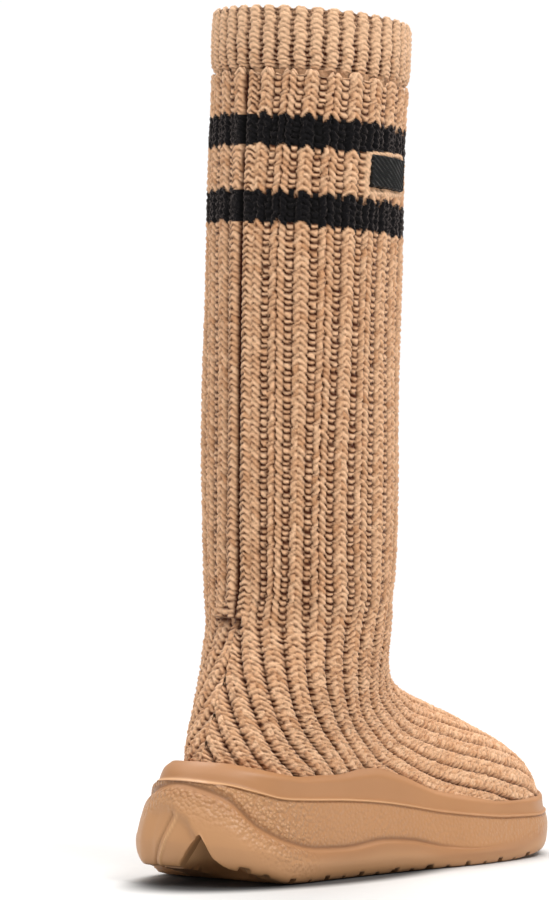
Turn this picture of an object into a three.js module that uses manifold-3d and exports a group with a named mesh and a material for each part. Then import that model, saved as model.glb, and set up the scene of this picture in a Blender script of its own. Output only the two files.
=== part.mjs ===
// A right-foot sock boot: a chunky rib-knit upper with a tighter cuff, on a one-piece moulded cup sole.
// Millimetres. +X points to the toe, +Y to the inner side of the foot, +Z up.
// The origin lies on the floor under the middle of the sole.

import * as THREE from "three";
import { mergeVertices } from "three/addons/utils/BufferGeometryUtils.js";
import Module from "manifold-3d";

const wasm = await Module();
wasm.setup();

// Driving sizes
const SOLE_LENGTH = 280;
const GAP = 0.3; // clearance between pieces that meet
const KNIT_WALL = 4.2; // crest of a rib to the inside of the knit
const RIB_RISE = 1.8; // crest of a rib above the groove beside it
const INSOLE_THICKNESS = 4.5;
const CUFF_RIBS = 36;
const CUFF_WALL = 3.4;
const CUFF_RIB_RISE = 1.3;

const SOLE_HALF_SAMPLES = 40; // points along each side of the sole
const FORM_HALF_SAMPLES = 26; // points down each side of a smooth section of the foot
const GIRTH_SAMPLES = 60; // chords that measure half of a section's girth
const EDGE_TRIM = 6; // the shaft is formed this much too tall, then cut at its edge
const BACK_SEAM = 0.8; // a rib's corner nearer to the back line than this runs into it
const NORMAL_STEP = 0.02; // sections, or radians round one, over which the outward direction is measured
const SAME_POINT = 0.001; // points nearer than this are one point

// Sections of the knit from the bound edge of the shaft to the tip of the toe, fanned about the ankle's crook.
// front and back are the ends of a section on the boot's centre line, over the crests of the ribs.
// half is its greatest half width, widest the share of the way from front to back where that lies,
// and pitch the distance between ribs.
const UPPER_SECTIONS = table(
  "frontX frontY frontZ backX backY backZ half widest pitch",
  [
    [20.5, 1, 388.5, -79.3, 1, 395, 49.9, 0.5, 11.9], // bound edge
    [17, 2, 315, -81.3, 2, 320, 49, 0.5, 11.9], // calf
    [14.5, 3, 225, -83.1, 3, 228, 48.8, 0.5, 11.9], // shin
    [12.5, 3, 146, -83.7, 3, 144, 48, 0.5, 11.7], // ankle
    [12.6, 3, 128, -83.5, 3, 126, 46, 0.5, 11.5], // fold at the back of the ankle
    [14.8, 3, 113, -91, 2, 104, 42.5, 0.51, 11.3], // crook
    [19.5, 3, 101.5, -102.5, 1, 81, 38.8, 0.52, 11], // heel
    [27, 3, 93.5, -113, 0, 57, 36, 0.53, 10.7], // heel at the rim
    [36, 3, 88.5, -115, -1, 35, 35, 0.55, 10.4], // heel in the cup
    [46, 3, 84.5, -98, -1, 6, 35.5, 0.56, 10.2], // seat
    [57, 3, 80.5, -50, -3, 2, 37, 0.58, 10], // waist
    [69, 3, 76, 0, -3, 0, 40.5, 0.6, 9.8], // instep
    [82, 3, 70.5, 45, -2, -1, 45, 0.6, 9.6], // ball
    [95, 3.5, 65, 76, -0.5, -1, 45.6, 0.6, 9.5], // forefoot
    [108, 4, 59.5, 100, 1, 2, 42, 0.6, 9.4],
    [119, 4.5, 53.5, 116, 2.5, 6, 34.2, 0.6, 9.3], // toe
    [127.5, 5, 46, 127.5, 4.5, 12, 22.5, 0.6, 9.2],
    [133, 5.5, 36, 133.5, 5.5, 24, 6, 0.5, 9.2], // tip
  ],
);
const SHAFT_SECTIONS = 4; // the first sections, which make the straight shaft

// One rib across: place in pitches from the groove before it, and depth below the crest in RIB_RISE.
const RIB_CORNERS = table("place depth", [
  [0, 1],
  [0.24, 0],
  [0.76, 0],
]);

// The cuff: height above the bound edge of the shaft, and how far its crests lie inside the shaft's crests.
const CUFF_ROWS = table("height inset", [
  [-16, KNIT_WALL + 2 * GAP],
  [0.5, KNIT_WALL + GAP],
  [4, 2.4],
  [11, 0.6],
  [26, 0.3],
  [29, 1.6],
]);

// The plain patch on the outer side, between the two stripes.
const PATCH = { low: 335, high: 351.5, front: 58, back: 87, thickness: 1.1, columns: 8 };

// Plan of the sole at its widest: the centre line's offset and the half width at stations from heel to toe.
const SOLE_PLAN = table("x centre half", [
  [-140, 0, 42],
  [-95, -0.5, 43.5],
  [-50, 0.3, 44.8],
  [0, -0.5, 47],
  [40, -0.5, 52],
  [66, 1, 53],
  [92, 2.4, 51.8],
  [120, 4.5, 48.6],
  [140, 6, 47],
]);
const HEEL_ROUND = { from: -93, reach: 47 };
const TOE_ROUND = { from: 90, reach: 50 };

// Side of the sole: heights of its lines at stations from heel to toe, then how far they lie inside the
// widest line. groove is the depth of the crease.
const SOLE_SIDE = table(
  "x tread bulge crease step rim lipIn groove stepIn rimIn",
  [
    [-140, 9, 21, 47, 50.5, 58.6, 9, 2.4, 13, 18],
    [-127, 8, 19, 37.5, 48.5, 58, 6, 2.8, 11, 15.5],
    [-113, 5, 16, 28.3, 45, 56, 4, 2.8, 9, 12],
    [-95, 0.5, 11, 20.5, 41, 53, 2, 2.6, 7.5, 9],
    [-76, 0, 9, 16.4, 39.4, 50.3, 1, 2.4, 6, 7.5],
    [-53, 0, 8.5, 15.4, 38, 50.4, 0.6, 2.2, 5.2, 7],
    [-28, 0, 9, 17.2, 35.6, 51.8, 0.5, 2.2, 5, 7],
    [-7, 0, 8.5, 15.7, 32.5, 47.5, 0.5, 2, 4.5, 6.8],
    [18, 0, 7, 11, 28, 38.3, 0.4, 1.4, 4, 6.3],
    [42, 0, 7, 9, 25, 34, 0.3, 0.4, 3.6, 6],
    [68, 0, 7, 10, 22.7, 31.2, 0.3, 0, 3.2, 5.4],
    [100, 2, 12.5, 15.5, 21.8, 30.6, 0.2, 0, 1.8, 3.4],
    [126, 5, 17, 19.5, 23, 33, 0.2, 0, 1.2, 2.6],
    [140, 8, 19.5, 22, 25.5, 36, 0.2, 0, 1.2, 2.8],
  ],
);
const TREAD_EDGE = { inset: 6, chamfer: 2.6, chamferRise: 0.7, wall: 0.6, wallRise: 4.4 };
const CREASE = { lipDrop: 1.6, backShare: 0.7 }; // in depths of its groove
const STEP_LEDGE = { height: 1.2, depth: 1 };
const RIM_EDGE = { shoulder: 5, edge: 1.4, back: 2 };

// Floor of the cup, on which the knit's lower edge and the insole rest.
const CUP_FLOOR = table("x floor", [
  [-150, 36],
  [-95, 35],
  [-50, 31],
  [0, 25],
  [45, 20],
  [85, 18.5],
  [115, 20.5],
  [150, 26],
]);
const CUP_FLOOR_STEPS = 24;

// Bars across the tread: grooves at one pitch, cut up into the underside.
const TREAD_GROOVES = { first: -94.5, count: 9, pitch: 25.5, width: 3.6, depth: 2.6 };
// The heel's underside: a pod stands in the middle, and the walls beside it rise towards the back.
const HEEL_HOLLOW = { front: -97, back: -150, rise: 30, podHalf: 19, reach: 60 };
// Two upright grooves that mark a strip down the back of the pod.
const POD_STRIP = { half: 5, width: 1.4, reach: 5, low: 5, high: 40, leanX: 8 };

const FINISHES = {
  sole: { color: "#b98656", roughness: 0.55 },
  insole: { color: "#b08a63", roughness: 0.9 },
  upper: { color: "#c79c6d", roughness: 0.95 },
  cuff: { color: "#c99f70", roughness: 0.95 },
  patch: { color: "#17161a", roughness: 0.5 },
};

// Rows of numbers with named columns.
function table(columns, rows) {
  const names = columns.split(" ");
  return rows.map((row) =>
    Object.fromEntries(names.map((name, i) => [name, row[i]])),
  );
}

// A column of a table as a smooth function of another column, or of the row number where none is named.
// It is a cubic through the rows that never overshoots them, and level beyond the ends.
function along(rows, column, from) {
  const xs = rows.map((row, i) => (from ? row[from] : i));
  const ys = rows.map((row) => row[column]);
  const last = xs.length - 1;
  const rise = (i) => (ys[i + 1] - ys[i]) / (xs[i + 1] - xs[i]);
  const slopes = xs.map((_, i) => {
    if (i === 0) return rise(0);
    if (i === last) return rise(last - 1);
    const before = rise(i - 1);
    const after = rise(i);
    return before * after > 0 ? (2 * before * after) / (before + after) : 0;
  });
  return (x) => {
    if (x <= xs[0]) return ys[0];
    if (x >= xs[last]) return ys[last];
    const i = xs.findIndex((_, k) => x < xs[k + 1]);
    const span = xs[i + 1] - xs[i];
    const t = (x - xs[i]) / span;
    const pull = span * ((1 - t) * slopes[i] - t * slopes[i + 1]) + (1 - 2 * t) * (ys[i] - ys[i + 1]);
    return (1 - t) * ys[i] + t * ys[i + 1] + t * (1 - t) * pull;
  };
}

// Every column but one as functions of that one.
function columnsOf(rows, from) {
  const names = Object.keys(rows[0]).filter((name) => name !== from);
  return Object.fromEntries(names.map((name) => [name, along(rows, name, from)]));
}

// A closed mesh as a solid that can be joined and cut.
// Equal points become one point, and triangles that shrink to a line are dropped.
function solidOf(geometry) {
  const bare = new THREE.BufferGeometry();
  bare.setAttribute("position", geometry.getAttribute("position"));
  bare.setIndex(geometry.index);
  const merged = mergeVertices(bare, SAME_POINT);
  const corners = merged.index.array;
  const kept = [];
  for (let i = 0; i < corners.length; i += 3) {
    const [a, b, c] = corners.slice(i, i + 3);
    if (a !== b && b !== c && c !== a) kept.push(a, b, c);
  }
  const vertProperties = merged.getAttribute("position").array;
  const triVerts = Uint32Array.from(kept);
  return new wasm.Manifold(new wasm.Mesh({ numProp: 3, vertProperties, triVerts }));
}

// A solid from points and triangles.
function solidFrom(points, triangles) {
  const geometry = new THREE.BufferGeometry().setFromPoints(points);
  geometry.setIndex(triangles);
  return solidOf(geometry);
}

// Triangles between closed rings of count points each, that face outwards where each ring runs
// anticlockwise seen against the direction in which the rings follow one another.
function ringTriangles(rings, count) {
  const triangles = [];
  for (let row = 0; row + 1 < rings; row++) {
    for (let i = 0; i < count; i++) {
      const next = (i + 1) % count;
      const [a, b] = [row * count + i, row * count + next];
      const [c, d] = [a + count, b + count];
      triangles.push(a, b, d, a, d, c);
    }
  }
  return triangles;
}

// Triangles over one ring of count points from first, in strips from each side to the other.
function capTriangles(first, count, faceUp) {
  const triangles = [];
  for (let i = 0; 2 * i + 1 < count; i++) {
    const [a, b] = [i, i + 1];
    const [c, d] = [(count - i) % count, count - i - 1];
    triangles.push(...(faceUp ? [a, b, d, a, d, c] : [a, d, b, a, c, d]));
  }
  return triangles.map((corner) => first + corner);
}

// A solid lofted through rings of points, closed at both ends.
function loft(rings) {
  const count = rings[0].length;
  return solidFrom(rings.flat(), [
    ...ringTriangles(rings.length, count),
    ...capTriangles(0, count, false),
    ...capTriangles((rings.length - 1) * count, count, true),
  ]);
}

// A prism from an outline in the XZ plane, spread between two places across the boot.
function prismAcross(outline, fromY, toY) {
  const shape = new THREE.Shape(outline.map(([x, z]) => new THREE.Vector2(x, z)));
  const geometry = new THREE.ExtrudeGeometry(shape, { depth: toY - fromY, bevelEnabled: false });
  geometry.rotateX(Math.PI / 2);
  geometry.translate(0, toY, 0);
  return solidOf(geometry);
}

// The knit's sections

const upperColumns = columnsOf(UPPER_SECTIONS);
const lastSection = UPPER_SECTIONS.length - 1;

// A section of the upper: its ends on the centre line and its sizes.
function sectionAt(v) {
  const value = Object.fromEntries(
    Object.entries(upperColumns).map(([name, read]) => [name, read(v)]),
  );
  return {
    ...value,
    front: new THREE.Vector3(value.frontX, value.frontY, value.frontZ),
    back: new THREE.Vector3(value.backX, value.backY, value.backZ),
  };
}

// A point of a section: two half ellipses that share their width.
// turn runs from 0 at the front to pi at the back, and side is 1 on the inner side and -1 on the outer.
function pointOf(section, turn, side) {
  const { widest, half } = section;
  const reach = turn < Math.PI / 2 ? widest : 1 - widest;
  const share = widest - reach * Math.cos(turn);
  const point = section.front.clone().lerp(section.back, share);
  point.y += side * half * Math.sin(turn);
  return point;
}

// The direction out of the knit at a point of the section at v.
function outwardAt(v, turn, side) {
  const [before, after] = [Math.max(v - NORMAL_STEP, 0), Math.min(v + NORMAL_STEP, lastSection)];
  const acrossRows = pointOf(sectionAt(after), turn, side).sub(pointOf(sectionAt(before), turn, side));
  const section = sectionAt(v);
  const around = pointOf(section, turn + NORMAL_STEP, side).sub(pointOf(section, turn - NORMAL_STEP, side));
  return around.cross(acrossRows).multiplyScalar(-side).normalize();
}

// Lengths along half of a section from its front, and the turn that lies a given length along it.
function girthOf(section) {
  const lengths = [0];
  for (let i = 1; i <= GIRTH_SAMPLES; i++) {
    const [a, b] = [i - 1, i].map((k) => pointOf(section, (Math.PI * k) / GIRTH_SAMPLES, 1));
    lengths.push(lengths[i - 1] + Math.hypot(a.x - b.x, a.y - b.y, a.z - b.z));
  }
  const total = lengths[GIRTH_SAMPLES];
  const turnAt = (length) => {
    if (length >= total - BACK_SEAM) return Math.PI;
    const i = lengths.findIndex((_, k) => length < lengths[k + 1]);
    const share = (length - lengths[i]) / (lengths[i + 1] - lengths[i]);
    return (Math.PI * (i + share)) / GIRTH_SAMPLES;
  };
  return { total, turnAt };
}

// A point that lies drop inside the crests of the ribs.
function dropped(v, turn, side, drop) {
  return pointOf(sectionAt(v), turn, side).addScaledVector(outwardAt(v, turn, side), -drop);
}

// A closed ring of a section: down the outer side from front to back, then up the inner side.
// turns and drops hold one value for each corner of half the ring.
function ringAt(v, turns, drops) {
  const outer = turns.map((turn, i) => dropped(v, turn, -1, drops[i]));
  const inner = turns.map((turn, i) => dropped(v, turn, 1, drops[i]));
  return [...outer, ...inner.reverse()];
}

// Rings with one more above the first, so that a cut through the shaft's edge is clean.
function raised(rings, lift) {
  const up = new THREE.Vector3(0, 0, lift);
  return [rings[0].map((point) => point.clone().add(up)), ...rings];
}

// The smooth form of the knit at a depth inside its crests, filled, and raised above the shaft's edge.
function smoothForm(drop, lift) {
  const turns = [];
  for (let i = 0; i <= FORM_HALF_SAMPLES; i++) turns.push((Math.PI * i) / FORM_HALF_SAMPLES);
  const drops = turns.map(() => drop);
  const rings = UPPER_SECTIONS.map((_, v) => ringAt(v, turns, drops));
  return loft(raised(rings, lift));
}

// The ribbed form of the knit, filled and raised. Each rib keeps its distance from the front line, so new ribs
// start in chevrons where the girth grows at the heel, and the foremost ribs run on along the foot to the toe.
function ribbedForm(lift) {
  const rows = UPPER_SECTIONS.map(({ pitch }, v) => ({ v, pitch, girth: girthOf(sectionAt(v)) }));
  const ribs = Math.ceil(Math.max(...rows.map((row) => row.girth.total / row.pitch)));
  const rings = rows.map(({ v, pitch, girth }) => {
    const turns = [];
    const drops = [];
    for (let rib = 0; rib < ribs; rib++) {
      for (const corner of RIB_CORNERS) {
        const turn = girth.turnAt((rib + corner.place) * pitch);
        turns.push(turn);
        drops.push(turn < Math.PI ? corner.depth * RIB_RISE : RIB_RISE);
      }
    }
    turns.push(Math.PI);
    drops.push(RIB_RISE);
    return ringAt(v, turns, drops);
  });
  return loft(raised(rings, lift));
}

// Everything above the plane of the shaft's bound edge.
function aboveEdge() {
  const { frontX, frontZ, backX, backZ } = UPPER_SECTIONS[0];
  const slope = (frontZ - backZ) / (frontX - backX);
  const reach = SOLE_LENGTH / 2;
  const edge = [-reach, reach].map((x) => [x, backZ + slope * (x - backX)]);
  return prismAcross([...edge, [reach, backZ + reach], [-reach, backZ + reach]], -reach, reach);
}

// Everything below the floor of the cup, raised by lift.
const floorAt = along(CUP_FLOOR, "floor", "x");
function belowFloor(lift) {
  const [from, to] = [CUP_FLOOR[0].x, CUP_FLOOR.at(-1).x];
  const outline = [];
  for (let i = 0; i <= CUP_FLOOR_STEPS; i++) {
    const x = from + ((to - from) * i) / CUP_FLOOR_STEPS;
    outline.push([x, floorAt(x) + lift]);
  }
  const deep = -SOLE_LENGTH / 2;
  return prismAcross([[from, deep], [to, deep], ...outline.reverse()], deep, -deep);
}

// The sole

const planColumns = columnsOf(SOLE_PLAN, "x");
const sideColumns = columnsOf(SOLE_SIDE, "x");

// Half width of the sole at its widest line, drawn in to round ends.
function soleHalf(x) {
  const past = Math.max((HEEL_ROUND.from - x) / HEEL_ROUND.reach, (x - TOE_ROUND.from) / TOE_ROUND.reach, 0);
  return planColumns.half(x) * Math.sqrt(Math.max(1 - past * past, 0));
}

// The widest line: from the heel along the outer side to the toe, and back along the inner side.
function solePlan() {
  const count = 2 * SOLE_HALF_SAMPLES;
  const points = [];
  for (let i = 0; i < count; i++) {
    const turn = (Math.PI * i) / SOLE_HALF_SAMPLES;
    const x = (-SOLE_LENGTH / 2) * Math.cos(turn);
    const side = i <= SOLE_HALF_SAMPLES ? -1 : 1;
    points.push(new THREE.Vector2(x, planColumns.centre(x) + side * soleHalf(x)));
  }
  return points.map((point, i) => {
    const along = points[(i + 1) % count].clone().sub(points[(i + count - 1) % count]).normalize();
    return { point, out: new THREE.Vector2(along.y, -along.x) };
  });
}

// The levels of the sole's side from the tread to the rim's top, as height and distance inside the widest line.
function soleLevels(x) {
  const at = Object.fromEntries(Object.entries(sideColumns).map(([name, read]) => [name, read(x)]));
  return [
    [at.tread, TREAD_EDGE.inset],
    [at.tread + TREAD_EDGE.chamferRise, TREAD_EDGE.chamfer],
    [at.tread + TREAD_EDGE.wallRise, TREAD_EDGE.wall],
    [at.bulge, 0],
    [at.crease - at.groove * CREASE.lipDrop, at.lipIn],
    [at.crease, at.lipIn + at.groove],
    [at.crease + at.groove, at.lipIn + at.groove * CREASE.backShare],
    [at.step, at.stepIn],
    [at.step + STEP_LEDGE.height, at.stepIn + STEP_LEDGE.depth],
    [at.rim - RIM_EDGE.shoulder, (at.stepIn + at.rimIn + STEP_LEDGE.depth) / 2],
    [at.rim - RIM_EDGE.edge, at.rimIn],
    [at.rim, at.rimIn + RIM_EDGE.back],
  ];
}

function soleBody() {
  const plan = solePlan();
  const levels = plan.map(({ point }) => soleLevels(point.x));
  const rings = levels[0].map((_, level) =>
    plan.map(({ point, out }, i) => {
      const [height, inset] = levels[i][level];
      const place = point.clone().addScaledVector(out, -inset);
      return new THREE.Vector3(place.x, place.y, height);
    }),
  );
  return loft(rings);
}

// Grooves across the tread.
function treadGrooves() {
  const { first, count, pitch, width, depth } = TREAD_GROOVES;
  const reach = SOLE_LENGTH / 2;
  const grooves = [];
  for (let i = 0; i < count; i++) {
    const x = first + i * pitch;
    const top = sideColumns.tread(x) + depth;
    const outline = [
      [x - width / 2, -depth],
      [x + width / 2, -depth],
      [x + width / 2, top],
      [x - width / 2, top],
    ];
    grooves.push(prismAcross(outline, -reach, reach));
  }
  return grooves;
}

// Hollows on both sides of the heel pod, and the two grooves down its back.
function heelCuts() {
  const { front, back, rise, podHalf, reach } = HEEL_HOLLOW;
  const wedge = [[back, -rise], [front, -rise], [front, 0], [back, rise]];
  const strip = POD_STRIP;
  const behind = -SOLE_LENGTH / 2;
  const slot = [
    [behind - strip.reach, strip.low],
    [behind + strip.reach / 2, strip.low],
    [behind + strip.leanX, strip.high],
    [behind - strip.reach, strip.high],
  ];
  return [
    prismAcross(wedge, podHalf, reach),
    prismAcross(wedge, -reach, -podHalf),
    prismAcross(slot, strip.half, strip.half + strip.width),
    prismAcross(slot, -strip.half - strip.width, -strip.half),
  ];
}

function makeSole() {
  const cup = smoothForm(-GAP, EDGE_TRIM).subtract(belowFloor(0));
  const cuts = [cup, ...treadGrooves(), ...heelCuts()];
  return cuts.reduce((solid, cut) => solid.subtract(cut), soleBody());
}

// The soft pieces

function makeUpper() {
  const wall = ribbedForm(EDGE_TRIM).subtract(smoothForm(KNIT_WALL, 2 * EDGE_TRIM));
  return wall.subtract(aboveEdge()).subtract(belowFloor(GAP));
}

function makeInsole() {
  const inside = smoothForm(KNIT_WALL + GAP, EDGE_TRIM);
  const slab = belowFloor(GAP + INSOLE_THICKNESS).subtract(belowFloor(GAP));
  return inside.intersect(slab);
}

// The shaft's own section carried past its bound edge along the line of the shaft.
function shaftPoint(height, turn, side, drop) {
  const lean = sectionAt(0).front.clone().add(sectionAt(0).back);
  lean.sub(sectionAt(1).front).sub(sectionAt(1).back);
  return dropped(0, turn, side, drop).addScaledVector(lean, height / lean.z);
}

function makeCuff() {
  const girth = girthOf(sectionAt(0));
  const turns = [];
  for (let i = 0; i < CUFF_RIBS; i++) turns.push(girth.turnAt((girth.total * (i + 0.5)) / CUFF_RIBS));
  const ring = (height, drops) => [
    ...turns.map((turn, i) => shaftPoint(height, turn, -1, drops[i])),
    ...turns.map((turn, i) => shaftPoint(height, turn, 1, drops[i])).reverse(),
  ];
  const outside = CUFF_ROWS.map(({ height, inset }) =>
    ring(height, turns.map((_, i) => inset + (i % 2) * CUFF_RIB_RISE)),
  );
  const inside = CUFF_ROWS.filter((_, i) => i % 2 === 0 || i === CUFF_ROWS.length - 1).map(
    ({ height, inset }) => ring(height, turns.map(() => inset + CUFF_WALL)),
  );
  const rings = [...outside.reverse(), ...inside, outside[0]];
  return solidFrom(rings.flat(), ringTriangles(rings.length, 2 * CUFF_RIBS));
}

// The section of the shaft whose middle lies at a height.
const shaftMiddles = UPPER_SECTIONS.slice(0, SHAFT_SECTIONS).map(({ frontZ, backZ }, v) => ({
  v,
  height: (frontZ + backZ) / 2,
}));
const shaftSectionAt = along(shaftMiddles.reverse(), "v", "height");

function makePatch() {
  const { low, high, front, back, thickness, columns } = PATCH;
  const edge = (height, drop) => {
    const v = shaftSectionAt(height);
    const girth = girthOf(sectionAt(v));
    const points = [];
    for (let i = 0; i <= columns; i++) {
      const turn = girth.turnAt(front + ((back - front) * i) / columns);
      points.push(dropped(v, turn, -1, -drop));
    }
    return points;
  };
  const ring = (height) => [...edge(height, GAP), ...edge(height, GAP + thickness).reverse()];
  return loft([ring(low), ring(high)]);
}

// A named mesh of a solid, in its own material.
function meshOf(name, solid) {
  const { vertProperties, triVerts } = solid.getMesh();
  const geometry = new THREE.BufferGeometry();
  geometry.setAttribute("position", new THREE.BufferAttribute(vertProperties, 3));
  geometry.setIndex(new THREE.BufferAttribute(triVerts, 1));
  geometry.computeVertexNormals();
  const mesh = new THREE.Mesh(geometry, new THREE.MeshStandardMaterial(FINISHES[name]));
  mesh.name = name;
  return mesh;
}

const boot = new THREE.Group();
boot.add(
  meshOf("sole", makeSole()),
  meshOf("insole", makeInsole()),
  meshOf("upper", makeUpper()),
  meshOf("cuff", makeCuff()),
  meshOf("patch", makePatch()),
);

export default boot;
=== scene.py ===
# %% [markdown]
# # A rib-knit sock boot on a moulded sole
# The boot is a tall tube of chunky rib knit with a tighter cuff, shaped over a foot and set into a one-piece
# moulded foam sole. The solids of the frame already give its sizes. This lesson gives each piece the surface that
# the eye expects: stitches, stripes, grain, and a white studio around it.

import bpy
import numpy as np
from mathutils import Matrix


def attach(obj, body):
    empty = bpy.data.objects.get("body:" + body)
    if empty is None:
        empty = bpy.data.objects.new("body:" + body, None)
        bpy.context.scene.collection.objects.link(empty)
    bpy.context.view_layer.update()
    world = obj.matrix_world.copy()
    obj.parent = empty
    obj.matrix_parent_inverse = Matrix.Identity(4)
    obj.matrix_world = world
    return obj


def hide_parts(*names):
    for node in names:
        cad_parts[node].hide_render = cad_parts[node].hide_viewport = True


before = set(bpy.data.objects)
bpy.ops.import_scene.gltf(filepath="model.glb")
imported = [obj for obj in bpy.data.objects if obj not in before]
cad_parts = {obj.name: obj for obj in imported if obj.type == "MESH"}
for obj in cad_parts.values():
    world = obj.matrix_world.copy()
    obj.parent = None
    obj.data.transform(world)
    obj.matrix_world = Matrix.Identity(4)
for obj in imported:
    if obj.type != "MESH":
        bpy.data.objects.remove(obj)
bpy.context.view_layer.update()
print("solids:", ", ".join(sorted(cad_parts)))

# %% [markdown]
# ## The sizes
# A knitted foot has no straight edge, so its shape is a fan of sections from the edge of the shaft to the toe, and
# a sole is a plan with a few lines drawn along its side. Both are short tables in millimetres, with the toe along
# +X, the inner side of the foot along +Y, and the floor at Z = 0. They are the sizes of the solids, so the
# surfaces fall where the solids are.

# %% Tables of sections and lines
# Front x, y, z and back x, y, z of a section over the crests of the ribs, its half width, the share of the way
# back where it is widest, and the distance between ribs.
KNIT = np.array([
    [20.5, 1, 388.5, -79.3, 1, 395, 49.9, 0.5, 11.9],
    [17, 2, 315, -81.3, 2, 320, 49, 0.5, 11.9],
    [14.5, 3, 225, -83.1, 3, 228, 48.8, 0.5, 11.9],
    [12.5, 3, 146, -83.7, 3, 144, 48, 0.5, 11.7],
    [12.6, 3, 128, -83.5, 3, 126, 46, 0.5, 11.5],
    [14.8, 3, 113, -91, 2, 104, 42.5, 0.51, 11.3],
    [19.5, 3, 101.5, -102.5, 1, 81, 38.8, 0.52, 11],
    [27, 3, 93.5, -113, 0, 57, 36, 0.53, 10.7],
    [36, 3, 88.5, -115, -1, 35, 35, 0.55, 10.4],
    [46, 3, 84.5, -98, -1, 6, 35.5, 0.56, 10.2],
    [57, 3, 80.5, -50, -3, 2, 37, 0.58, 10],
    [69, 3, 76, 0, -3, 0, 40.5, 0.6, 9.8],
    [82, 3, 70.5, 45, -2, -1, 45, 0.6, 9.6],
    [95, 3.5, 65, 76, -0.5, -1, 45.6, 0.6, 9.5],
    [108, 4, 59.5, 100, 1, 2, 42, 0.6, 9.4],
    [119, 4.5, 53.5, 116, 2.5, 6, 34.2, 0.6, 9.3],
    [127.5, 5, 46, 127.5, 4.5, 12, 22.5, 0.6, 9.2],
    [133, 5.5, 36, 133.5, 5.5, 24, 6, 0.5, 9.2],
])
FOLD, RIM = 4, 7  # the sections at the fold behind the ankle and where the heel meets the sole's rim

# Plan of the sole: x, the centre line's offset, and the half width.
SOLE_PLAN = np.array([
    [-140, 0, 42], [-95, -0.5, 43.5], [-50, 0.3, 44.8], [0, -0.5, 47], [40, -0.5, 52],
    [66, 1, 53], [92, 2.4, 51.8], [120, 4.5, 48.6], [140, 6, 47],
])
# Side of the sole: x, then the heights of tread, bulge, crease, step line and rim, then how far the crease's lip
# lies inside the widest line, the crease's depth, and how far the step line and the rim lie inside.
SOLE_SIDE = np.array([
    [-140, 9, 21, 48.4, 50.5, 58.6, 9, 2.4, 13, 18],
    [-127, 8, 19, 41.5, 48.5, 58, 6, 2.8, 11, 15.5],
    [-113, 5, 16, 28.3, 45, 56, 4, 2.8, 9, 12],
    [-95, 0.5, 11, 20.5, 41, 53, 2, 2.6, 7.5, 9],
    [-76, 0, 9, 16.4, 39.4, 50.3, 1, 2.4, 6, 7.5],
    [-53, 0, 8.5, 15.4, 38, 50.4, 0.6, 2.2, 5.2, 7],
    [-28, 0, 9, 17.2, 35.6, 51.8, 0.5, 2.2, 5, 7],
    [-7, 0, 8.5, 15.7, 32.5, 47.5, 0.5, 2, 4.5, 6.8],
    [18, 0, 7, 11, 28, 38.3, 0.4, 1.4, 4, 6.3],
    [42, 0, 7, 9, 25, 34, 0.3, 0.4, 3.6, 6],
    [68, 0, 7, 10, 22.7, 31.2, 0.3, 0, 3.2, 5.4],
    [100, 2, 12.5, 15.5, 21.8, 30.6, 0.2, 0, 1.8, 3.4],
    [126, 5, 17, 19.5, 23, 33, 0.2, 0, 1.2, 2.6],
    [140, 8, 19.5, 22, 25.5, 36, 0.2, 0, 1.2, 2.8],
])
CUP_FLOOR = np.array([
    [-150, 36], [-95, 35], [-50, 31], [0, 25], [45, 20], [85, 18.5], [115, 20.5], [150, 26],
])
GAP = 0.3
KNIT_WALL = 4.2
HALF_LENGTH = 140


def smooth(places, values, at):
    """Monotone cubic through a table: at each row the slope is the harmonic mean of the rises on either side, or
    level at a peak, so the curve never overshoots. Beyond the ends it stays level."""
    values = np.asarray(values, float)
    rise = np.diff(values, axis=0) / np.diff(places).reshape(-1, *[1] * (values.ndim - 1))
    product, total = rise[:-1] * rise[1:], rise[:-1] + rise[1:]
    inner = np.where(product > 0, 2 * product / np.where(total == 0, 1, total), 0)
    slope = np.concatenate([rise[:1], inner, rise[-1:]])
    at = np.clip(at, places[0], places[-1])
    i = np.clip(np.searchsorted(places, at, side="right") - 1, 0, len(places) - 2)
    span = places[i + 1] - places[i]
    t = (at - places[i]) / span
    if values.ndim > 1:
        span, t = span[..., None], t[..., None]
    pull = span * ((1 - t) * slope[i] - t * slope[i + 1]) + (1 - 2 * t) * (values[i] - values[i + 1])
    return (1 - t) * values[i] + t * values[i + 1] + t * (1 - t) * pull


def ease(x):
    """Smooth step: 0 below 0, 1 above 1, and 3x^2 - 2x^3 between."""
    x = np.clip(x, 0, 1)
    return x * x * (3 - 2 * x)


print("sections of the knit:", len(KNIT), " lines along the sole:", SOLE_SIDE.shape[1] - 1)

# %% [markdown]
# ## Putting arrays into meshes
# A surface here is a grid of points, worked out as whole arrays. Blender takes such arrays straight into a mesh,
# which is quick even for a few hundred thousand points. Values that a material needs later, such as how deep a
# point lies between two stitches, go along as attributes of the points.


# %% Grid to mesh
def grid_faces(index):
    """Quads of a grid of point numbers, whose rows run down and whose columns run anticlockwise seen from above, so
    that they face outwards."""
    a, b, c, d = index[:-1, :-1], index[:-1, 1:], index[1:, 1:], index[1:, :-1]
    return np.stack([a, d, c, b], axis=-1)


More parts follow.
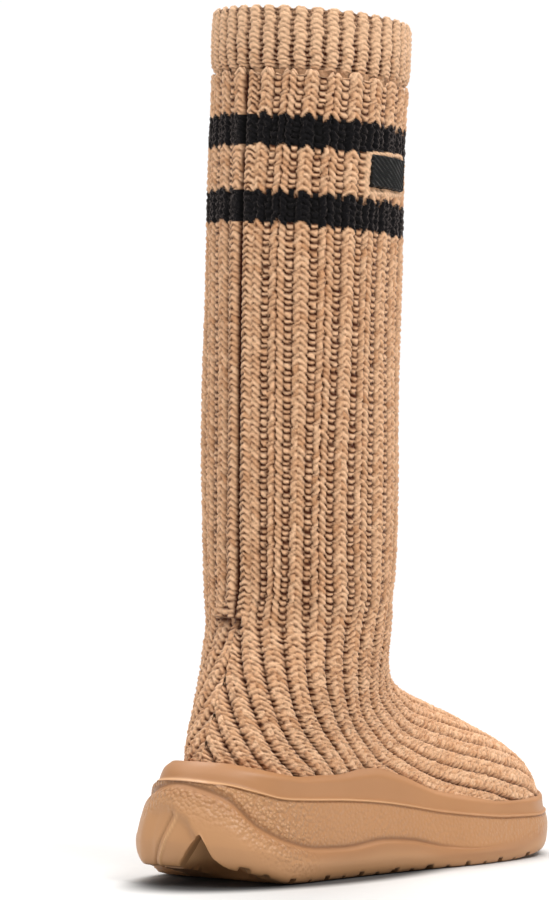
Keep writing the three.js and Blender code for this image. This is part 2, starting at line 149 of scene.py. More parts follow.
def add_piece(name, points, faces, material, slot, **attributes):
    """Make a mesh of the points that the quads use, in metres, and let it ride on the boot."""
    faces = faces.reshape(-1, 4)
    used, corners = np.unique(faces, return_inverse=True)
    mesh = bpy.data.meshes.new(name)
    mesh.vertices.add(len(used))
    mesh.vertices.foreach_set("co", (points.reshape(-1, 3)[used] / 1000).ravel())
    mesh.loops.add(faces.size)
    mesh.loops.foreach_set("vertex_index", corners.ravel())
    mesh.polygons.add(len(faces))
    mesh.polygons.foreach_set("loop_start", np.arange(0, faces.size, 4))
    mesh.update(calc_edges=True)
    mesh.validate()
    mesh.shade_smooth()
    for key, values in attributes.items():
        layer = mesh.attributes.new(key, "FLOAT", "POINT")
        layer.data.foreach_set("value", values.reshape(-1)[used].astype(np.float32))
    mesh.materials.append(material)
    piece = bpy.data.objects.new(name, mesh)
    bpy.context.scene.collection.objects.link(piece)
    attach(piece, "root")
    print(f"{name}: {len(used)} points, {2 * len(faces)} triangles")
    return piece


# %% [markdown]
# ## Materials
# Each material starts from what the real one is. A small helper adds a node with its settings and links, and one
# function turns the sRGB colours of a colour picker into the linear light that shaders work in. Patterns are sized
# in millimetres through the Object coordinates, which are metres here.


# %% Helpers for materials
def linear(code):
    """sRGB hex to linear light: divide by 12.92 near black, else raise (c + 0.055) / 1.055 to the power 2.4."""
    c = np.array([int(code[i:i + 2], 16) for i in (1, 3, 5)]) / 255
    return (*np.where(c <= 0.04045, c / 12.92, ((c + 0.055) / 1.055) ** 2.4), 1.0)


def node(tree, kind, inputs, **settings):
    """Add a node, set its settings, and give each named input a value or the socket that feeds it."""
    made = tree.nodes.new("ShaderNode" + kind)
    for key, value in settings.items():
        setattr(made, key, value)
    for key, value in inputs.items():
        if isinstance(value, bpy.types.NodeSocket):
            tree.links.new(value, made.inputs[key])
        else:
            made.inputs[key].default_value = value
    return made


def blend(tree, share, first, second):
    """Colour that goes from the first to the second as the share goes from 0 to 1. Hex codes are made linear."""
    first, second = [linear(colour) if isinstance(colour, str) else colour for colour in (first, second)]
    return node(tree, "Mix", {0: share, 6: first, 7: second}, data_type="RGBA").outputs[2]


def combine(tree, operation, *values):
    """Result of a sum, a product or the like."""
    return node(tree, "Math", dict(enumerate(values)), operation=operation).outputs[0]


def spread(tree, value, **limits):
    """The value carried from one span of numbers to another, 0 to 1 where nothing else is said."""
    limits = {key.replace("_", " "): limit for key, limit in limits.items()}
    return node(tree, "MapRange", {"Value": value, **limits}).outputs[0]


def new_material(name):
    """A material with an empty node tree, the tree, and the Object coordinates in it."""
    material = bpy.data.materials.new(name)
    material.use_nodes = True
    material.node_tree.nodes.clear()
    return material, material.node_tree, node(material.node_tree, "TexCoord", {}).outputs["Object"]


def surface(tree, inputs):
    """Give the tree its shader and its output."""
    shader = node(tree, "BsdfPrincipled", inputs)
    node(tree, "OutputMaterial", {"Surface": shader.outputs[0]})


def attribute(tree, name):
    """Value of an attribute of the points."""
    return node(tree, "Attribute", {}, attribute_name=name).outputs["Fac"]


def noise(tree, place, size, detail, **more):
    """Noise whose cells are this many millimetres wide."""
    return node(tree, "TexNoise", {"Vector": place, "Scale": 1000 / size, "Detail": detail, **more}).outputs["Fac"]


def bump(tree, height, strength, depth, **more):
    """Normal of a bump of this depth in millimetres."""
    inputs = {"Height": height, "Strength": strength, "Distance": depth / 1000, **more}
    return node(tree, "Bump", inputs).outputs["Normal"]


# %% [markdown]
# The knit is a wool-blend yarn: matt and slightly hairy. Its colour holds painted shade, darker and redder where a
# stitch dips out of the light. The stripes are the same yarn dyed black. Colour comes from three attributes of the
# points, the dye, the depth of the hollow, which sets the painted shade, and the tone of the strand, which varies
# at random and is paler on each strand's ridge as a painted highlight. A fine fibre noise breaks it up. Sheen
# stands for the loose hairs that brighten its edges.

# %% Wool-blend yarn
# The deep camel and the deep black are the colours of painted shade, mixed in where the yarn dips.
CAMEL, CAMEL_PALE, CAMEL_SHADE = "#cf996e", "#f5c8a0", "#431b09"
BLACK_YARN, BLACK_SHADE = "#0b0a0d", "#030303"


def wool_yarn():
    """Camel, paler by tone and fibre and darkened by painted shade in the hollows, or black by dye, with plies and
    hairs as bumps.
    """
    material, tree, place = new_material("wool_blend_yarn")
    dye, hollow, tone = [attribute(tree, name) for name in ("dye", "hollow", "tone")]
    fibre = noise(tree, place, 1.3, 3.0)
    paler = spread(tree, combine(tree, "ADD", fibre, tone), From_Min=0.4, From_Max=1.6)
    camel = blend(tree, hollow, blend(tree, paler, CAMEL, CAMEL_PALE), CAMEL_SHADE)
    black = blend(tree, hollow, BLACK_YARN, BLACK_SHADE)
    plies = bump(tree, fibre, 0.7, 1.2)
    hairs = bump(tree, noise(tree, place, 0.7, 4.0, Roughness=0.7), 0.5, 0.6, Normal=plies)
    surface(tree, {
        "Base Color": blend(tree, dye, camel, black), "Roughness": 0.92, "IOR": 1.45, "Specular IOR Level": 0.2,
        "Sheen Weight": 0.3, "Sheen Roughness": 0.4, "Sheen Tint": linear("#f6e2da"), "Normal": hairs})
    return material


yarn = wool_yarn()
print("made", yarn.name)

# %% [markdown]
# The sole is EVA foam, injected into a steel mould in one colour. The rim and the lower band are satin from a
# smooth mould, and the band between the step line and the crease was etched with a leather-like grain. The grain is
# a Voronoi pebble as a bump, strongest where the attribute of that name says so, which is at the heel. Two more
# attributes paint light and shade into the colour: painted shade in creases, notches, the heel's hollow and along
# the foot of the wall, and painted highlights on edges and paler bands. Pebble tops are painted paler as
# highlights.

# %% Moulded EVA foam
# The last brown is the colour of painted shade, and the pale one that of painted highlights.
FOAM, FOAM_WARM, FOAM_PALE, FOAM_SHADE = "#a9774d", "#b58257", "#e3b383", "#4a2812"
PEBBLE = 2.0  # millimetres


def moulded_foam():
    """Two close browns in clouds, painted shade and painted highlights on pebble tops, edges and bands mixed in,
    pebbles as a bump, and more gloss on the grain.
    """
    material, tree, place = new_material("moulded_eva_foam")
    grain, soil, worn = [attribute(tree, name) for name in ("grain", "soil", "worn")]
    pebble = node(tree, "TexVoronoi", {"Vector": place, "Scale": 1000 / PEBBLE, "Smoothness": 0.3},
                  feature="SMOOTH_F1").outputs["Distance"]
    etched = node(tree, "Bump", {"Height": combine(tree, "MULTIPLY", pebble, grain), "Strength": 1.0,
                                 "Distance": 0.0014}, invert=True).outputs["Normal"]
    skin = bump(tree, noise(tree, place, 0.9, 2.0), 0.06, 0.4, Normal=etched)
    colour = blend(tree, noise(tree, place, 35, 2.0), FOAM, FOAM_WARM)
    # Painted shade darkens the colour; painted highlights on pebble tops, edges and bands pale it.
    colour = blend(tree, soil, colour, FOAM_SHADE)
    # Painted highlights: pebble tops on the grain, and the marked edges and bands, go towards the pale colour.
    tops = spread(tree, pebble, From_Min=0.65, From_Max=0.2, To_Max=0.36)
    tops = combine(tree, "MAXIMUM", combine(tree, "MULTIPLY", tops, grain), worn)
    surface(tree, {
        "Base Color": blend(tree, tops, colour, FOAM_PALE), "IOR": 1.48, "Specular IOR Level": 0.45,
        "Roughness": spread(tree, grain, To_Min=0.44, To_Max=0.33), "Normal": skin})
    return material


foam = moulded_foam()
print("made", foam.name)

# %% [markdown]
# The patch is filled with black satin stitch: long floats of rayon thread lie side by side on the slant, and here
# and there a painted highlight lies on one. The attribute across counts millimetres across them. The insole is a
# board with a cloth top, seen only down the shaft, so a plain weave is enough, drawn coarser than real threads so
# that it shows.

# %% Satin stitch and insole cloth
THREAD = 2.1  # width of a bundle of threads, in millimetres
WEAVE = 2.826  # the same for the insole's weave
WAVE = 0.314  # a wave texture repeats at this length divided by its scale


def satin_stitch():
    """Near black, with the sine of the count of threads as a bump and a patchy painted highlight on its crests."""
    material, tree, place = new_material("black_rayon_satin_stitch")
    floats = combine(tree, "SINE", combine(tree, "MULTIPLY", attribute(tree, "across"), 2 * np.pi / THREAD))
    lit = combine(tree, "MULTIPLY", floats, noise(tree, place, 5, 1.0))
    lit = spread(tree, lit, From_Min=0.38, From_Max=0.6)
    surface(tree, {
        "Base Color": blend(tree, lit, "#060606", "#4c4a48"), "Roughness": 0.5, "IOR": 1.5,
        "Specular IOR Level": 0.25, "Normal": bump(tree, floats, 0.6, 0.4)})
    return material


def insole_cloth():
    """Two tones of tan, mixed by the product of two waves that cross, which is also the bump."""
    material, tree, place = new_material("insole_cloth")
    threads = [node(tree, "TexWave", {"Vector": place, "Scale": WAVE * 1000 / WEAVE}, bands_direction=axis)
               for axis in "XY"]
    weave = combine(tree, "MULTIPLY", *[wave.outputs["Fac"] for wave in threads])
    surface(tree, {
        "Base Color": blend(tree, weave, "#96714c", "#b48c64"), "Roughness": 0.9, "IOR": 1.45,
        "Normal": bump(tree, weave, 0.5, 0.5)})
    return material


satin = satin_stitch()
cloth = insole_cloth()
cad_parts["insole"].data.materials.clear()
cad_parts["insole"].data.materials.append(cloth)
print("made", satin.name, "and", cloth.name)

# %% [markdown]
# ## The shape of the knit
# Each section is two half ellipses that share their width, so a point of the knit needs only the section's number
# and an angle from the front line. Moving the points along the outward direction gives every other layer: the
# lining inside, the cuff above, and the stitches themselves.


# %% Points of the knit
def knit_point(v, turn):
    """Point over the crests: the share of the way from front to back is widest minus reach times the cosine of the
    turn, and the offset to the side is the half width times its sine. Negative turns lie on the outer side."""
    s = smooth(np.arange(len(KNIT)), KNIT, v)
    front, back, half, widest = s[..., 0:3], s[..., 3:6], s[..., 6], s[..., 7]
    reach = np.where(np.abs(turn) < np.pi / 2, widest, 1 - widest)
    share = (widest - reach * np.cos(turn))[..., None]
    point = front + share * (back - front)
    point[..., 1] += half * np.sin(turn)
    return point


def knit_out(v, turn, step=0.02):
    """Unit vector out of the knit: the cross product of a small step down the boot and a small step round it."""
    down = knit_point(v + step, turn) - knit_point(v - step, turn)
    around = knit_point(v, turn + step) - knit_point(v, turn - step)
    out = np.cross(down, around)
    return out / np.linalg.norm(out, axis=-1, keepdims=True)


def girth_turn(v, lengths):
    """Turns at the given lengths round the section from its front: chords are added up and read backwards."""
    turns = np.linspace(0, np.pi, 241)
    ring = knit_point(v[:, None], turns[None, :])
    grown = np.cumsum(np.linalg.norm(np.diff(ring, axis=1), axis=-1), axis=1)
    grown = np.concatenate([np.zeros((len(v), 1)), grown], axis=1)
    turn = np.array([np.interp(np.abs(want), have, turns) for want, have in zip(lengths, grown)])
    return turn * np.sign(lengths), grown[:, -1:]


# %% [markdown]
# Rows of the grid lie a little over half a millimetre apart, measured where the surface is longest, so each course
# of stitches gets five of them. Columns keep their distance from the front line in pitches of the rib. Where the
# heel needs more girth, new ribs come out of the line down the back, and that draws its chevrons without more work.

# %% Grid of the knit
ROW_STEP = 0.58
RIBS = 20
RIB_SHIFT = 0.33  # the knit sits turned by this share of a rib
# The cast-off edge rolls in with this radius, from this share of a section, over this many rows.
ROLL, EDGE_DOWN, ROLL_ROWS = 2.6, 0.035, 8
LEAN, LEAN_LOW, LEAN_SPAN, HALF_SHAFT = 4.5, 372, 15, 48
ACROSS = np.array([0, 0.1, 0.16, 0.22, 0.3, 0.38, 0.45, 0.5, 0.55, 0.62, 0.7, 0.78, 0.84, 0.9])


def lean(points):
    """Lower the soft top of the shaft towards the outer side, by up to LEAN and less and less down to LEAN_LOW."""
    aside = np.clip((HALF_SHAFT - points[..., 1]) / (2 * HALF_SHAFT), 0, 1)
    points[..., 2] -= LEAN * aside * ease((points[..., 2] - LEAN_LOW) / LEAN_SPAN)
    return points


close = np.linspace(EDGE_DOWN, len(KNIT) - 1, 4001)
lines = knit_point(close[:, None], np.array([[0, np.pi / 2, -np.pi / 2, np.pi]]))
stretch = np.linalg.norm(np.diff(lines, axis=0), axis=-1)
stretch[close[1:] > RIM + 0.3, 3] = 0  # the line down the back counts no more where it lies in the sole
grown = np.concatenate([[0], np.cumsum(stretch.max(axis=1))])
rows = np.interp(np.arange(0, grown[-1], ROW_STEP), grown, close)
rows = np.append(np.full(ROLL_ROWS, EDGE_DOWN), rows)
roll = np.zeros((len(rows), 1, 1))
roll[:ROLL_ROWS, 0, 0] = np.linspace(np.pi / 2, 0, ROLL_ROWS, endpoint=False)

rib_place = np.append((np.arange(-RIBS, RIBS)[:, None] + ACROSS).ravel(), RIBS)
pitch = smooth(np.arange(len(KNIT)), KNIT[:, 8], rows)[:, None]
sway = 0.05 * np.sin(rows[:, None] * 2.3 + rib_place * 0.9)
from_front = (rib_place + sway + RIB_SHIFT) * pitch
turn, half_girth = girth_turn(rows, from_front)
base, out = knit_point(rows[:, None], turn), knit_out(rows[:, None], turn)
up = KNIT[0, 0:3] + KNIT[0, 3:6] - KNIT[1, 0:3] - KNIT[1, 3:6]
up /= np.linalg.norm(up)
base = lean(base + ROLL * (np.sin(roll) * up - (1 - np.cos(roll)) * out))
out = out * np.cos(roll) + up * np.sin(roll)
print("knit grid:", base.shape[:2], " half girth of the shaft:", round(float(half_girth[0, 0]), 1), "mm")

# %% [markdown]
# ## Stitches
# The shaft is a fisherman's rib. Every second column of stitches is split by a dark line, its legs fall away to
# both sides and run on as bars across the purl, and a column of plain arches takes them up again. So a strand of
# yarn is a wave round the boot, and a table over two ribs says how many courses it has fallen and how deep it lies.
# On the foot the yarn is stretched: all columns turn broad and equal, with one toothed groove between, and towards
# the toe they are worn flat. Each strand is round; its colour has painted shade, darkest and reddest where strands
# dip, and a painted highlight along its ridge.

# %% Tables of the rib
# Place in ribs from the middle of a split column, the fall in courses, the level in millimetres, and how dark the
# painted shade in the gaps between strands is.
SHAFT_RIB = np.array([
    [0, 0, -2.2, 1], [0.05, 0.12, -0.7, 0.6], [0.12, 0.34, 0, 0.4], [0.2, 0.58, -0.1, 0.4], [0.28, 0.8, -0.7, 0.6],
    [0.34, 1.05, -1.8, 1.1], [0.4, 1.28, -1.1, 1.3], [0.5, 1.34, -0.9, 1.3], [0.6, 1.28, -1.2, 1.3],
    [0.66, 1.05, -2.1, 1.1], [0.72, 0.8, -0.8, 0.6], [0.78, 0.6, -0.2, 0.4], [0.86, 0.28, 0, 0.4],
    [0.93, 0.1, -0.1, 0.5], [1, 0.02, -0.8, 0.9],
])
HALF_FOOT = np.array([
    [0, 0, -0.5, 0.7], [0.06, 0.05, -0.1, 0.45], [0.18, 0.24, 0, 0.4], [0.28, 0.5, -0.15, 0.6],
    [0.36, 0.72, -0.5, 1], [0.43, 0.84, -1.6, 1.2], [0.5, 0.9, -2.6, 1.2],
])
FOOT_RIB = np.concatenate([HALF_FOOT, [1, 0, 0, 0] + [-1, 1, 1, 1] * HALF_FOOT[-2::-1]])
CUFF_RIB = np.array([
    [0, 0, -0.25, 0.55], [0.1, 0.06, 0, 0.45], [0.22, 0.3, -0.1, 0.5], [0.32, 0.56, -0.6, 0.6],
    [0.38, 0.64, -1.5, 0.9], [0.44, 0.68, -1.8, 1], [0.5, 0.68, -1.6, 0.9],
])
dice = np.random.default_rng(11)
LOOSE = dice.normal(0, 1, (512, 128))


def strands(course, cell, fall, level, gap, leg):
    """Height in millimetres, depth of the hollow, tone and number of the strand at each point: course minus fall
    counts the strands, the ridge of one is 1 - |2t - 1|^1.7 over its width t, and a loose one stands lower. The
    hollow is painted shade on the sides of a strand and on all that dips, and the tone is paler on the ridge, as a
    painted highlight."""
    climb = course - fall
    number = np.floor(climb).astype(int)
    loose = LOOSE[number % 512, cell % 128]
    off = np.abs(2 * (climb - number) - 1)
    ridge = 1 - off ** 1.7
    dip = np.clip((-level - 0.75) / 1.1, 0, 1)
    # Painted shade in the gaps between strands and where they dip; the ridge term in the tone is a painted
    # highlight.
    hollow = np.clip(np.clip((off - 0.3) / 0.7, 0, 1) * gap + 0.6 * dip ** 2, 0, 1)
    height = level - leg * (1 - ridge * (1 - 0.15 * np.abs(loose)))
    return height, hollow, np.clip(0.35 + 0.25 * loose + 0.35 * ridge, 0, 1), number


# %% Courses down each rib
COURSE = 3.1  # millimetres from one course to the next
EDGE_COURSE = 1.0  # millimetres by which the first course stands above the edge
middles = np.arange(2 * RIBS) * len(ACROSS) + list(ACROSS).index(0.5)
steps = np.linalg.norm(np.diff(base[:, middles], axis=0), axis=-1)
counted = np.concatenate([np.zeros((1, 2 * RIBS)), np.cumsum(steps, axis=0)]) - ROLL * np.pi / 2 + EDGE_COURSE
beside = np.clip(rib_place - 0.5 + RIBS, 0, 2 * RIBS - 1.001)
first = np.floor(beside).astype(int)
course = (counted[:, first] * (1 - beside + first) + counted[:, first + 1] * (beside - first)) / COURSE
in_rib = rib_place % 1 - 0.5
cell = 3 * np.floor(rib_place + RIBS).astype(int) + np.digitize(in_rib, [-0.34, 0, 0.34])  # legs and purls apart
uneven = [np.sin(course * a + rib_place * b + 2 * LOOSE[k, cell % 128])
          for k, (a, b) in enumerate(((2.3, 0.5), (3.9, 0.9), (0.7, 0.6)))]
course = course + 0.1 * uneven[0] + 0.08 * uneven[1] + 0.12 * uneven[2]
print("courses down the front:", int(course[-1, len(rib_place) // 2]))

# %% [markdown]
# Down the back the tube is closed by a seam: a deep line with a chain of arrowheads on both sides, which turns into
# a ladder of bars low on the inner side. Behind the ankle the shaft's knit ends in a short fold, which stands out
# and throws a shadow on the heel. The whole tube swells and sinks a little, as a boot without a leg in it does.

# %% Relief of the whole knit
SHAFT_LEG, FOOT_LEG = 1.25, 0.8  # how far a strand stands above the gaps beside it
on_foot = ease((rows[:, None] - 3.5) / 1.5)
deepening = 0.95 + 0.15 * ease((rows[:, None] - 0.8) / 2)  # the rib gets deeper down the shaft
wobble = (0.03 * uneven[0] + 0.02 * uneven[1]) * (1 - 0.6 * on_foot)
away = (rib_place + wobble + 0.5) % 2 - 1
fall, level, gap = np.moveaxis(smooth(SHAFT_RIB[:, 0], SHAFT_RIB[:, 1:], np.abs(away)), -1, 0)
level = level * deepening

from_back = half_girth - np.abs(from_front)
SEAM = 4.2  # the middle of the chain and of the ladder beside the seam
seam = ease((2 * SEAM - from_back) / 1.5) * (1 - ease((rows[:, None] - 3.9) / 0.4))
off_chain = np.abs(from_back - SEAM) / SEAM
fall = fall * (1 - seam) + seam * 0.9 * off_chain
level = level * (1 - seam) - seam * 1.2 * off_chain ** 2
ladder = (rib_place > 0) * ease((rows[:, None] - 3.1) / 0.3) * (1 - on_foot)
ladder = ladder * ease((2 + 12 * ease((rows[:, None] - 3.2) / 0.8) - from_back) / 1.5)
fall, level = fall * (1 - ladder), level * (1 - ladder) - 0.8 * ladder
closing = np.exp(-from_back ** 2) * (1 - on_foot)  # the deep line of the seam itself
level = np.maximum(level, -3) - 2.2 * closing
foot = np.moveaxis(smooth(FOOT_RIB[:, 0], FOOT_RIB[:, 1:], np.abs(away)), -1, 0)
worn_flat = 0.65 * ease((rows[:, None] - 6) / 4)  # towards the toe the strands are pulled flat
foot[2] *= 1 - worn_flat
fall, level, gap, leg = [above * (1 - on_foot) + below * on_foot for above, below in (
    (fall, foot[0]), (level, foot[1]), (gap, foot[2]), (SHAFT_LEG, FOOT_LEG - FOOT_LEG * worn_flat))]
height, hollow, tone, number = strands(course, cell, fall, level, gap, leg)
fuzz = dice.normal(0, 1, height.shape)
fuzz = (fuzz + np.roll(fuzz, 1, 0) + np.roll(fuzz, 1, 1) + np.roll(fuzz, (1, 1), (0, 1))) / 2
height = np.minimum(height + (0.1 + 0.1 * on_foot) * fuzz, 0.25)
# Painted shade: the ladder and the seam's deep line are darkened in colour.
hollow = np.clip(hollow - (0.08 + 0.1 * on_foot) * fuzz + 0.12 * ladder + 0.6 * closing, 0, 1)

heel_line = knit_point(rows, np.full(len(rows), np.pi))
back_line = np.append(0, np.cumsum(np.linalg.norm(np.diff(heel_line, axis=0), axis=-1)))
below_fold = (back_line - np.interp(FOLD, rows, back_line))[:, None]
# The fold is short on the outer side of the seam and long on the inner one.
fold_share = ease((np.where(rib_place < 0, 3, 17) - from_back) / np.where(rib_place < 0, 2, 4))
fold = np.where(below_fold < 0, 2.6 * ease(1 + below_fold / 22), -2.6 * ease(1 - below_fold / 8))
# Painted shadow of the fold on the heel, just below its edge.
hollow = np.maximum(hollow, fold_share * np.exp(-((below_fold - 0.8) / 1.6) ** 2))
# The empty tube is not quite round, and at its edge each rib ends in a small arch.
swell = 0.5 * np.sin(rows[:, None] * 1.7 + 0.5 * rib_place) + 0.35 * np.sin(rows[:, None] * 4.1 - 0.8 * rib_place)
on_edge = np.sin(roll[..., 0])
scallop = on_edge * (1.3 * np.cos(2 * np.pi * in_rib) + 1.2 * np.sin(rib_place * 2.2 + 1) * np.cos(rib_place * 0.7))
tone = tone + 0.5 * on_edge - 0.06 * on_foot - 0.1 * worn_flat

STRIPES = (6, 11), (18, 23)  # first strand in black and first one after it
dyed = np.where(seam > 0.5, course - 0.5, number + (cell % 3 == 0))
dye = sum(((dyed >= top) & (dyed < end)) * 1.0 for top, end in STRIPES)
print("points in black yarn:", int(dye.sum()))

# %% [markdown]
# The patch is let into the knit: a line of pale overcast stitches runs round it. On the grid that is a smooth ridge
# at a fixed distance from the patch's edge.

# %% Overcast frame of the patch
PATCH_LOW, PATCH_HIGH, PATCH_FRONT, PATCH_BACK = 333.5, 350, 58, 87  # heights, and lengths round from the front
HALF_WIDE, HALF_TALL = (PATCH_BACK - PATCH_FRONT) / 2, (PATCH_HIGH - PATCH_LOW) / 2
patch_off = np.maximum(np.abs(-from_front - (PATCH_FRONT + PATCH_BACK) / 2) - HALF_WIDE,
                       np.abs(base[..., 2] - (PATCH_LOW + PATCH_HIGH) / 2) - HALF_TALL)
framing = np.exp(-((patch_off - 1.2) / 1.2) ** 2)
overcast = np.abs(np.sin((from_front + base[..., 2]) * 1.3))
height = height * (1 - framing) + framing * (-0.5 + 0.5 * overcast)
# Painted shade between the overcast stitches; the frame's paler tone is the thread's own colour.
hollow, tone = hollow * (1 - framing) + framing * 0.4 * (1 - overcast), tone + framing
dye[framing > 0.4] = 0
points = base + out * (height + fold_share * fold + swell * (1 - on_foot))[..., None] + scallop[..., None] * up

# %% [markdown]
# The grid is cut into four long strips along grooves, front and back on either side, so that no piece is too heavy
# and every cut lies in a shadow. Faces that have run into the line down the back are dropped, and so are those deep
# in the sole's cup, where the lining alone goes on.

# %% Knit pieces
rim_height = smooth(SOLE_SIDE[:, 0], SOLE_SIDE[:, 5], points[..., 0])
seen = points[..., 2] > rim_height - 10
live = np.abs(turn) < np.pi - 1e-6
index = np.arange(points.shape[0] * points.shape[1]).reshape(points.shape[:2])
shown = (seen[:-1, :-1] | seen[1:, 1:]) & (live[:-1, :-1] | live[:-1, 1:] | live[1:, :-1] | live[1:, 1:])
SPLIT = 7
strips = {
    "knit_outer_back": (rib_place[:-1] < -SPLIT),
    "knit_outer_front": (rib_place[:-1] >= -SPLIT) & (rib_place[:-1] < 0),
    "knit_inner_front": (rib_place[:-1] >= 0) & (rib_place[:-1] < SPLIT),
    "knit_inner_back": (rib_place[:-1] >= SPLIT),
}
faces = grid_faces(index)
for name, columns in strips.items():
    piece = add_piece(name, points, faces[shown & columns], yarn, "rib_knit", dye=dye, hollow=hollow, tone=tone)
    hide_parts("upper")

# %% [markdown]
# ## Lining
# The inside of the knit shows down the shaft. It is the same surface moved in by the wall's thickness, with faces
# turned to the inside, and it stops at the floor of the cup.

# %% Lining
LINING_ROWS, LINING_COLUMNS, LINING_RIBS = 160, 145, 26
grid_v = np.linspace(EDGE_DOWN, len(KNIT) - 1, LINING_ROWS)[:, None]
grid_turn = np.broadcast_to(np.linspace(-np.pi, np.pi, LINING_COLUMNS), (LINING_ROWS, LINING_COLUMNS))
rib_wave = np.abs(np.sin(grid_turn * LINING_RIBS / 2))
inside = knit_point(grid_v, grid_turn) - knit_out(grid_v, grid_turn) * (KNIT_WALL - 0.6 * rib_wave)[..., None]
floor_here = smooth(CUP_FLOOR[:, 0], CUP_FLOOR[:, 1], inside[..., 0]) + GAP
above = inside[..., 2] > floor_here
inside[..., 2] = np.maximum(inside[..., 2], floor_here)
index = np.arange(inside.shape[0] * inside.shape[1]).reshape(inside.shape[:2])
kept = above[:-1, :-1] | above[:-1, 1:] | above[1:, :-1] | above[1:, 1:]
faces = grid_faces(index)[..., ::-1]
# The lining's hollow attribute paints shade between its ribs.
add_piece("knit_lining", inside, faces[kept], yarn, "rib_knit", dye=0 * rib_wave,
          hollow=0.25 + 0.3 * (1 - rib_wave), tone=0.5 + 0 * rib_wave)

# %% [markdown]
# ## The cuff
# The cuff is a finer rib that is knitted on inside the bound edge, stands up, folds over at its top and goes back
# down inside. It is one surface: a profile of height and inset, carried round the shaft, with the same stitches at
# a smaller pitch.

# %% Cuff
CUFF_RIBS = 38
CUFF_COURSE, CUFF_ROW, CUFF_LEG = 2.6, 0.55, 1.0
CUFF_ACROSS = np.array([0, 0.06, 0.12, 0.2, 0.32, 0.5, 0.68, 0.8, 0.88, 0.94])


def shaft_point(height, turn, inset):
    """The shaft's top section moved in by inset and carried on by height along the line of the shaft."""
    zero = np.zeros((1, 1))
    return knit_point(zero, turn) - knit_out(zero, turn) * inset[..., None] + height[..., None] * up / up[2]


# Height above the shaft's edge and inset, from inside over the fold and down the outside.
profile = np.array([
    [-16, 8.6], [-4, 8.2], [8, 5.6], [20, 4.6], [27, 4.4], [30.8, 3.2], [31.6, 2.3], [30.8, 1.2], [27, 0.3],
    [20, 0.1], [11, 0.1], [5, 0.5], [2, 1.5], [-0.5, 3.4], [-6, 4.6], [-16, 4.9],
])
walked = np.concatenate([[0], np.cumsum(np.linalg.norm(np.diff(profile, axis=0), axis=1))])
along_cuff = np.arange(0, walked[-1], CUFF_ROW)
cuff_profile = smooth(walked, profile, along_cuff)
cuff_place = (np.arange(CUFF_RIBS)[:, None] + CUFF_ACROSS).ravel()
cuff_pitch = 2 * half_girth[0, 0] / CUFF_RIBS
cuff_turn, _ = girth_turn(np.zeros(1), (cuff_place * cuff_pitch - half_girth[0, 0])[None, :])
cuff_cell = 3 * np.floor(cuff_place).astype(int) + np.digitize(cuff_place % 1 - 0.5, [-0.36, 0, 0.36])
cuff_course = (along_cuff / CUFF_COURSE)[:, None] + 0.1 * np.sin(np.floor(cuff_place) * 2.1)
cuff_course = cuff_course + 0.12 * np.sin(1.9 * cuff_course + 2 * LOOSE[0, cuff_cell % 128])
cuff_wobble = 0.05 * np.sin(1.3 * cuff_course + cuff_place) + 0.04 * np.sin(2.9 * cuff_course + 2.3 * cuff_place)
cuff_away = np.abs((cuff_place + cuff_wobble) % 1 - 0.5)
cuff_rib = np.moveaxis(smooth(CUFF_RIB[:, 0], CUFF_RIB[:, 1:], cuff_away), -1, 0)
cuff_height, cuff_hollow, cuff_tone, _ = strands(cuff_course, cuff_cell, *cuff_rib, CUFF_LEG)
# Painted shade and light: the cuff's tone is lowered where it leans in behind the shaft's edge, and raised all
# over, standing in for the light on the top of the boot.
shaded = ease((22 - cuff_profile[:, :1]) / 16)  # the cuff leans in behind the shaft's edge and is darker there
cuff_hollow, cuff_tone = cuff_hollow * (0.9 + 0.35 * shaded), cuff_tone + 0.95 - 0.6 * shaded
cuff_fuzz = dice.normal(0, 1, cuff_height.shape)
cuff_height, cuff_hollow = cuff_height + 0.07 * cuff_fuzz, np.clip(cuff_hollow - 0.08 * cuff_fuzz, 0, 1)
way = np.gradient(cuff_profile, axis=0)
way /= np.linalg.norm(way, axis=1, keepdims=True)
cuff_points = lean(shaft_point(cuff_profile[:, :1] - way[:, 1:] * cuff_height, cuff_turn + 0 * cuff_course,
                               cuff_profile[:, 1:] + way[:, :1] * cuff_height))
index = np.arange(cuff_points.shape[0] * cuff_points.shape[1]).reshape(cuff_points.shape[:2])
index = np.concatenate([index, index[:, :1]], axis=1)
cuff = add_piece("cuff_knit", cuff_points, grid_faces(index), yarn, "rib_knit", dye=0 * cuff_height,
                 hollow=cuff_hollow, tone=cuff_tone)
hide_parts("cuff")

# %% [markdown]
# ## The patch
# A small plain patch, filled with black satin stitch, lies on the outer side between the stripes. It is a grid over
# the shaft's own surface, padded a little in the middle and drawn down at its overcast edge, where each stitch
# leaves a bump. Bundles of thread run down to the front across the rest.

# %% Patch
PATCH_ROWS, PATCH_COLUMNS = 60, 90
SLANT = -0.6, 0.8  # direction across the threads, to the front and down
shaft_middle = (KNIT[:4, 2] + KNIT[:4, 5]) / 2
patch_v = np.interp(-np.linspace(PATCH_HIGH, PATCH_LOW, PATCH_ROWS), -shaft_middle, np.arange(4))
patch_s = np.linspace(PATCH_BACK, PATCH_FRONT, PATCH_COLUMNS)
patch_turn, _ = girth_turn(patch_v, -patch_s[None, :] + 0 * patch_v[:, None])
patch_x, patch_y = np.linspace(-1, 1, PATCH_COLUMNS)[None, :], np.linspace(-1, 1, PATCH_ROWS)[:, None]
past_side, past_end = np.abs(patch_x) * HALF_WIDE - HALF_WIDE, np.abs(patch_y) * HALF_TALL - HALF_TALL
to_edge = np.minimum((1 - np.abs(patch_x)) * HALF_WIDE, (1 - np.abs(patch_y)) * HALF_TALL)
along_edge = np.where(past_side > past_end, patch_y * HALF_TALL, patch_x * HALF_WIDE)
border = ease((2.2 - to_edge) / 0.6)
